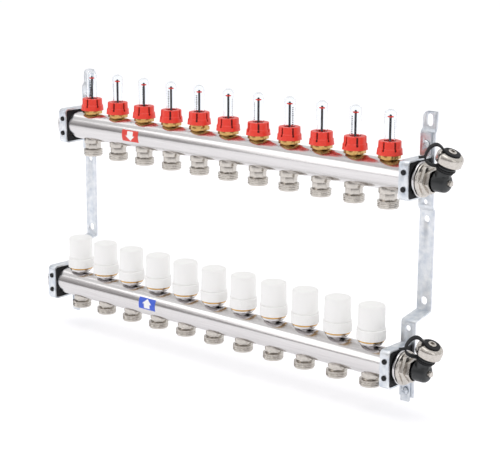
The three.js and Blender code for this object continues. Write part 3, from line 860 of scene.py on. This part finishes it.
for label in ("upper_left", "upper_right", "lower_left", "lower_right"):
    bar = bars["supply" if "upper" in label else "return"]
    at = (middle("clamp_" + label).x, bar["y"], bar["z"])
    turn = (0, 0 if "upper" in label else 180, 0)
    for piece, kind, material, slot in (
        (strap, "clamp_", zinc, "zinc_plate"),
        (saddle, "saddle_", rubber, "black_rubber"),
        (screw, "screw_", zinc, "zinc_plate"),
    ):
        part = copy_to(piece, kind + label + "_shown", at, turn)
        finish(part, material, "frame", kind + label)
for piece in (strap, saddle, screw):
    bpy.data.objects.remove(piece)

# ---- End plugs
# A brass plug screwed into the far end of each bar, nickel plated: a flange on a seal ring, a large
# hexagon to tighten it by and a smaller one that holds the drain valve.
FLANGE_RADIUS = 20.4
BIG_FLATS = 33.0
SMALL_FLATS = 26.0

plug = soften(turned("plug", [
    (5, -11.7),
    (14.8, -11.7),
    (14.8, 1.0),
    (FLANGE_RADIUS, 1.0),
    (FLANGE_RADIUS, 3.2),
    (FLANGE_RADIUS - 1.8, 4.0),
    (FLANGE_RADIUS - 2.4, 5.0),
    (13, 5.0),
    (13, 15.0),
    (7, 15.0),
    (7, 20.0),
    (5, 20.0),
    (5, -11.7),
], 64), 0.3)
big = prism("big", 6, BIG_FLATS / math.sqrt(3), 4.0, 9.5)
small = prism("small", 6, SMALL_FLATS / math.sqrt(3), 9.0, 15.0)
master = joined("plug", [plug, soften(big, 0.7), soften(settle(small, (0, 0, 0), (0, 0, 12)), 0.7)])
settle(master, (0, 0, 0), (0, 90, 0))
washer = soften(turned("washer", [(15, 0), (19.6, 0), (19.9, 0.5), (19.6, 1.0), (15, 1.0), (15, 0)], 64), 0.1)
settle(washer, (0, 0, 0), (0, 90, 0))
for line, bar in bars.items():
    at = (bar["end"], bar["y"], bar["z"])
    plug = copy_to(master, line + "_plug", at)
    finish(plug, nickel, "frame", line + "_end_plug")
    finish(copy_to(washer, line + "_seal", at), rubber, "frame")
bpy.data.objects.remove(master)
bpy.data.objects.remove(washer)

# ---- Drain valves
# A moulded valve that swivels on each end plug. Its ribbed neck leans away from the plug, and a
# square-ended stem in its far end opens it. A cap on a rubber tether keeps the hose thread clean.
DRAIN_RADIUS = 11.5
OUTLET_LEAN = 23.0
OUTLET_SETBACK = 3.0
STEM_MIDDLE = 9.15
NECK_RADIUS = 9.25
RIB_RADIUS = 10.3
VALVE_FLANGE = 11.0

# Glass-filled nylon in black: a dark satin skin with a fine moulded grain.
black, shader, place = new_material("black_moulded_nylon", {"Roughness": 0.36, "IOR": 1.53})
grain = add_node(black, "ShaderNodeTexNoise", {"Scale": 1.8, "Detail": 3.0}, Vector=place)
tone = add_node(black, "ShaderNodeValToRGB", {}, Fac=grain.outputs["Fac"])
tone.color_ramp.elements[0].color = linear("#121416")
tone.color_ramp.elements[1].color = linear("#24282a")
shade_with(black, shader, "Base Color", tone.outputs["Color"])
relief = add_node(black, "ShaderNodeBump", {"Strength": 0.25, "Distance": 0.00006},
                  Height=grain.outputs["Fac"])
shade_with(black, shader, "Normal", relief.outputs["Normal"])


def lean(piece):
    """Leans a piece that is drawn about Z over to the outlet's place on the valve."""
    return settle(piece, (-OUTLET_SETBACK, 0, 0), (0, OUTLET_LEAN, 0))


barrel = turned("barrel", [
    (7.2, -9.4),
    (10.2, -9.4),
    (11.2, -8.4),
    (DRAIN_RADIUS, -6.6),
    (DRAIN_RADIUS, 3.6),
    (11.0, 5.9),
    (9.6, 7.8),
    (7.6, 9.0),
    (5.6, 9.45),
    (3.9, 9.45),
    (3.9, 4.2),
    (7.2, 4.2),
    (7.2, -9.4),
], 48)
settle(soften(barrel, 0.25), (0, 0, 0), (0, 90, 0))
neck = turned("neck", [
    (5, 6),
    (NECK_RADIUS, 6),
    (NECK_RADIUS, 14.2),
    (RIB_RADIUS, 14.6),
    (RIB_RADIUS, 15.8),
    (NECK_RADIUS, 16.2),
    (NECK_RADIUS, 19.5),
    (VALVE_FLANGE, 19.6),
    (VALVE_FLANGE, 21.4),
    (NECK_RADIUS, 21.5),
    (NECK_RADIUS, 22.9),
    (RIB_RADIUS, 23.2),
    (RIB_RADIUS, 24.3),
    (NECK_RADIUS, 24.6),
    (NECK_RADIUS, 26.6),
    (12.6, 26.6),
    (12.6, 35.4),
    (5, 35.4),
    (5, 6),
], 64)
lean(soften(neck, 0.25))
room = prism("room", 32, 4.4, 9.5, 15.5)
cut(neck, settle(room, (0, 0, 0), (0, 90, 0)))
master = joined("valve", [barrel, neck])

# The stem: a square of nickel-plated brass with a turned shank.
shank = soften(turned("shank", [(0, 4.6), (3.4, 4.6), (3.4, 10.4), (2.6, 10.6), (0, 10.6)], 32), 0.15)
square = soften(settle(prism("square", 4, 5.5 / math.sqrt(2), 9.9, 13.6), (0, 0, 0), (0, 0, 45)), 0.4)
stem = settle(joined("stem", [shank, square]), (0, 0, 0), (0, 90, 0))

# The cap: a domed brass cap, nickel plated, that keeps the hose thread shut and clean. A square
# recess in its boss fits the stem, so the cap is also the valve's key.
CAP_EDGE = 16.0
CAP_FOOT = 25.6
CAP_CROWN = 38.0
BOSS_RADIUS = 5.0
lid = turned("lid", [
    (0, CAP_CROWN - 2),
    (13.6, CAP_CROWN - 2),
    (13.6, CAP_FOOT),
    (CAP_EDGE - 0.5, CAP_FOOT),
    (CAP_EDGE, CAP_FOOT + 0.6),
    (CAP_EDGE, CAP_CROWN - 5.0),
    (CAP_EDGE - 0.5, CAP_CROWN - 3.0),
    (CAP_EDGE - 1.8, CAP_CROWN - 1.3),
    (CAP_EDGE - 3.6, CAP_CROWN - 0.3),
    (CAP_EDGE - 5.4, CAP_CROWN),
    (BOSS_RADIUS, CAP_CROWN),
    (BOSS_RADIUS, CAP_CROWN + 2.4),
    (BOSS_RADIUS - 0.6, CAP_CROWN + 3),
    (0, CAP_CROWN + 3),
], 64)
soften(lid, 0.25, 2, 40)
key = prism("key", 4, 4.5 / math.sqrt(2), CAP_CROWN + 0.6, CAP_CROWN + 5)
cut(lid, settle(key, (0, 0, 0), (0, 0, 45)))
lean(lid)


def flowing(path, times):
    """Cuts the corners of an open path again and again, until it runs as a smooth curve."""
    for _ in range(times):
        inside = []
        for (y, z), (next_y, next_z) in zip(path, path[1:]):
            inside.append((y * 0.75 + next_y * 0.25, z * 0.75 + next_z * 0.25))
            inside.append((y * 0.25 + next_y * 0.75, z * 0.25 + next_z * 0.75))
        path = [path[0], *inside, path[-1]]
    return path


# The tether: one moulding of black rubber, with a ring round the neck, a loop, a pull tab and a disc
# under the cap's boss, so that the cap stays with the valve.
RING_FOOT = 17.8
DISC_FOOT = CAP_CROWN + 0.2
band = strip("band", 6, flowing([
    (9.8, RING_FOOT + 0.8),
    (19.5, RING_FOOT),
    (27.2, 21.8),
    (28.4, 30.5),
    (26.4, 39.5),
    (20.6, 44.6),
    (13.6, 42.0),
    (10.5, DISC_FOOT + 0.8),
    (6.5, DISC_FOOT + 0.8),
], 3), 0)
tab = strip("tab", 4, [(34.4, 22.6), (30.5, 24.4), (27.2, 26.2)], 0.5, 1.6)
pieces = [soften(thicken(band, 2.0, 0), 0.4, 2, 50), soften(thicken(tab, 1.5, 0), 0.3, 2, 50)]
for inside, outside, foot in ((9.4, 11.8, RING_FOOT), (5.2, 10.2, DISC_FOOT)):
    ring = turned("ring", [
        (inside, foot), (outside, foot), (outside, foot + 1.6), (inside, foot + 1.6), (inside, foot)], 48)
    pieces.append(soften(ring, 0.35))
tether = joined("tether", pieces)
settle(tether, (0, 0, 0), (0, 0, 135))
lean(tether)

for line, bar in bars.items():
    at = (middle(line + "_drain_stem").x - STEM_MIDDLE, bar["y"], bar["z"])
    for piece, kind, material, body, slot in (
        (master, "drain_body", black, line + "_drain", "black_plastic"),
        (tether, "cap_tether", rubber, line + "_drain", "black_rubber"),
        (stem, "drain_stem", nickel, line + "_drain_stem", "nickel_plate"),
        (lid, "hose_cap", nickel, line + "_hose_cap", "nickel_plate"),
    ):
        part = copy_to(piece, f"{line}_{kind}_shown", at)
        finish(part, material, body, f"{line}_{kind}")
for piece in (master, tether, stem, lid):
    bpy.data.objects.remove(piece)

# ---- Flow labels
# A printed film label on each bar, near its open end: red with an arrow down for the supply, blue
# with an arrow up for the return. The film follows the tube.
LABEL_WIDTH = 30.0
ARROW_SPREAD = 0.8
LABEL_ARC = 49.0
SHAFT_REACH = 4.2
SHAFT_FOOT = -6.3
HEAD_REACH = 6.6
labels = {
    "supply": {"x": 127.0, "angle": -1.5, "colour": "#e8392b", "points": -1},
    "return": {"x": 182.0, "angle": 7.5, "colour": "#3b63dc", "points": 1},
}
for line, label in labels.items():
    bar = bars[line]
    outer = TUBE_RADIUS + 0.12
    film = one_point(line + "_label", label["x"] - LABEL_WIDTH / 2, 0, 0)
    bpy.ops.mesh.extrude_region_move(TRANSFORM_OT_translate={"value": (LABEL_WIDTH * MM, 0, 0)})
    bpy.ops.mesh.select_all(action="SELECT")
    bpy.ops.transform.translate(value=(0, -outer * MM, 0))
    bpy.ops.transform.rotate(value=math.radians(LABEL_ARC / 2 + label["angle"]), orient_axis="X",
                             center_override=(0, 0, 0))
    bpy.ops.mesh.spin(steps=14, angle=math.radians(-LABEL_ARC), center=(0, 0, 0), axis=(1, 0, 0))
    bpy.ops.mesh.select_all(action="SELECT")
    bpy.ops.mesh.normals_make_consistent(inside=False)
    bpy.ops.object.mode_set(mode="OBJECT")
    thicken(film, 0.08, 0)
    soften(film, 0)
    settle(film, (0, bar["y"], bar["z"]))

    # Polypropylene film, printed with a solid ink and a white arrow left clear of it.
    paint, shader, place = new_material(line + "_label_film", {"Roughness": 0.35})
    middle_height = bar["z"] + TUBE_RADIUS * math.sin(math.radians(label["angle"]))
    centred = add_node(paint, "ShaderNodeMapping", {
        "Location": (-label["x"] * ARROW_SPREAD, -bar["y"], -middle_height),
        "Scale": (ARROW_SPREAD, 1, 1)}, Vector=place)
    axes = add_node(paint, "ShaderNodeSeparateXYZ", {}, Vector=centred.outputs["Vector"])
    across = add_node(paint, "ShaderNodeMath", {"operation": "ABSOLUTE"}, _0=axes.outputs["X"]).outputs[0]
    along = add_node(paint, "ShaderNodeMath", {"operation": "MULTIPLY", 1: float(label["points"])},
                     _0=axes.outputs["Z"]).outputs[0]
    shaft = add_node(paint, "ShaderNodeMath", {"operation": "LESS_THAN", 1: SHAFT_REACH},
                     _0=across).outputs[0]
    above = add_node(paint, "ShaderNodeMath", {"operation": "GREATER_THAN", 1: SHAFT_FOOT},
                     _0=along).outputs[0]
    below = add_node(paint, "ShaderNodeMath", {"operation": "LESS_THAN", 1: 1.0}, _0=along).outputs[0]
    shaft = add_node(paint, "ShaderNodeMath", {"operation": "MULTIPLY"}, _0=shaft, _1=above).outputs[0]
    shaft = add_node(paint, "ShaderNodeMath", {"operation": "MULTIPLY"}, _0=shaft, _1=below).outputs[0]
    slope = add_node(paint, "ShaderNodeMath", {"operation": "ADD"}, _0=across, _1=along).outputs[0]
    inside = add_node(paint, "ShaderNodeMath", {"operation": "LESS_THAN", 1: HEAD_REACH}, _0=slope).outputs[0]
    over = add_node(paint, "ShaderNodeMath", {"operation": "GREATER_THAN", 1: -0.2}, _0=along).outputs[0]
    head = add_node(paint, "ShaderNodeMath", {"operation": "MULTIPLY"}, _0=inside, _1=over).outputs[0]
    arrow = add_node(paint, "ShaderNodeMath", {"operation": "MAXIMUM"}, _0=shaft, _1=head).outputs[0]
    mottle = add_node(paint, "ShaderNodeTexNoise", {"Scale": 0.6, "Detail": 2.0}, Vector=place)
    ground = add_node(paint, "ShaderNodeMix", {"data_type": "RGBA", "blend_type": "MULTIPLY", 0: 0.12,
                                               6: linear(label["colour"])}, _7=mottle.outputs["Color"])
    print_colour = add_node(paint, "ShaderNodeMix", {"data_type": "RGBA", 7: linear("#fbfbfa")},
                            _0=arrow, _6=ground.outputs[2])
    shade_with(paint, shader, "Base Color", print_colour.outputs[2])
    finish(film, paint, "frame")

# ---- Studio
# A plain pale floor under soft light, seen from the right and a little above.
alone()
floor_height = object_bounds()[0].z - 0.012
bpy.ops.mesh.primitive_plane_add(size=60, location=(0, 0, floor_height))
floor = bpy.context.object
floor.name = floor.data.name = "studio_floor"
pale, shader, place = new_material("pale_floor", {
    "Roughness": 0.6, "Base Color": linear("#f4f4f5"),
    "Emission Color": linear("#fbfaff"), "Emission Strength": 0.3})
floor.data.materials.append(pale)

# A white room whose near wall is grey and darkest at the floor line, for the metal to reflect.
world = bpy.data.worlds.new("studio")
bpy.context.scene.world = world
world.use_nodes = True
facing = add_node(world, "ShaderNodeTexCoord", {}).outputs["Generated"]
axes = add_node(world, "ShaderNodeSeparateXYZ", {}, Vector=facing)
near_wall = add_node(world, "ShaderNodeValToRGB", {}, Fac=axes.outputs["Z"])
near_wall.color_ramp.elements[0].position = 0.02
near_wall.color_ramp.elements[0].color = linear("#8c8a8a")
near_wall.color_ramp.elements[1].position = 0.3
near_wall.color_ramp.elements[1].color = linear("#bfbcbc")
near_wall.color_ramp.elements.new(0.54).color = linear("#dcdada")
near_wall.color_ramp.elements.new(0.66).color = linear("#ffffff")
behind = add_node(world, "ShaderNodeMapRange", {"From Min": 0.0, "From Max": 0.3}, Value=axes.outputs["Y"])
room = add_node(world, "ShaderNodeMix", {"data_type": "RGBA", 7: linear("#ffffff")},
                _0=behind.outputs["Result"], _6=near_wall.outputs["Color"])
background = world.node_tree.nodes["Background"]
background.inputs["Strength"].default_value = 0.88
world.node_tree.links.new(room.outputs[2], background.inputs["Color"])

for name, at, aim, size, power in (
    ("overhead", (0.2, -0.3, 1.9), (0.28, -0.04, 0), (2.4, 1.2), 9),
    ("left_front", (-1.6, -1.5, 0.9), (0.28, -0.04, 0), (0.8, 1.6), 6),
    ("right_front", (2.4, -0.4, 0.8), (0.4, -0.04, 0), (0.8, 1.4), 3),
):
    bpy.ops.object.light_add(type="AREA", location=at)
    lamp = bpy.context.object
    lamp.name = lamp.data.name = name
    lamp.data.shape = "RECTANGLE"
    lamp.data.size, lamp.data.size_y = size
    lamp.data.energy = power
    lamp.rotation_euler = (Vector(aim) - Vector(at)).to_track_quat("-Z", "Y").to_euler()
bpy.context.scene.view_settings.view_transform = "Standard"

bpy.ops.object.camera_add(location=(1.48103, -1.39239, 0.44006))
camera = bpy.context.object
camera.name = "camera"
camera.data.lens = 103.6
camera.data.sensor_width = 36
turn = Matrix.Rotation(math.radians(40.36), 4, "Z") @ Matrix.Rotation(math.radians(90 - 13.37), 4, "X")
camera.rotation_euler = (turn @ Matrix.Rotation(math.radians(0.31), 4, "Z")).to_euler()
bpy.context.scene.camera = camera
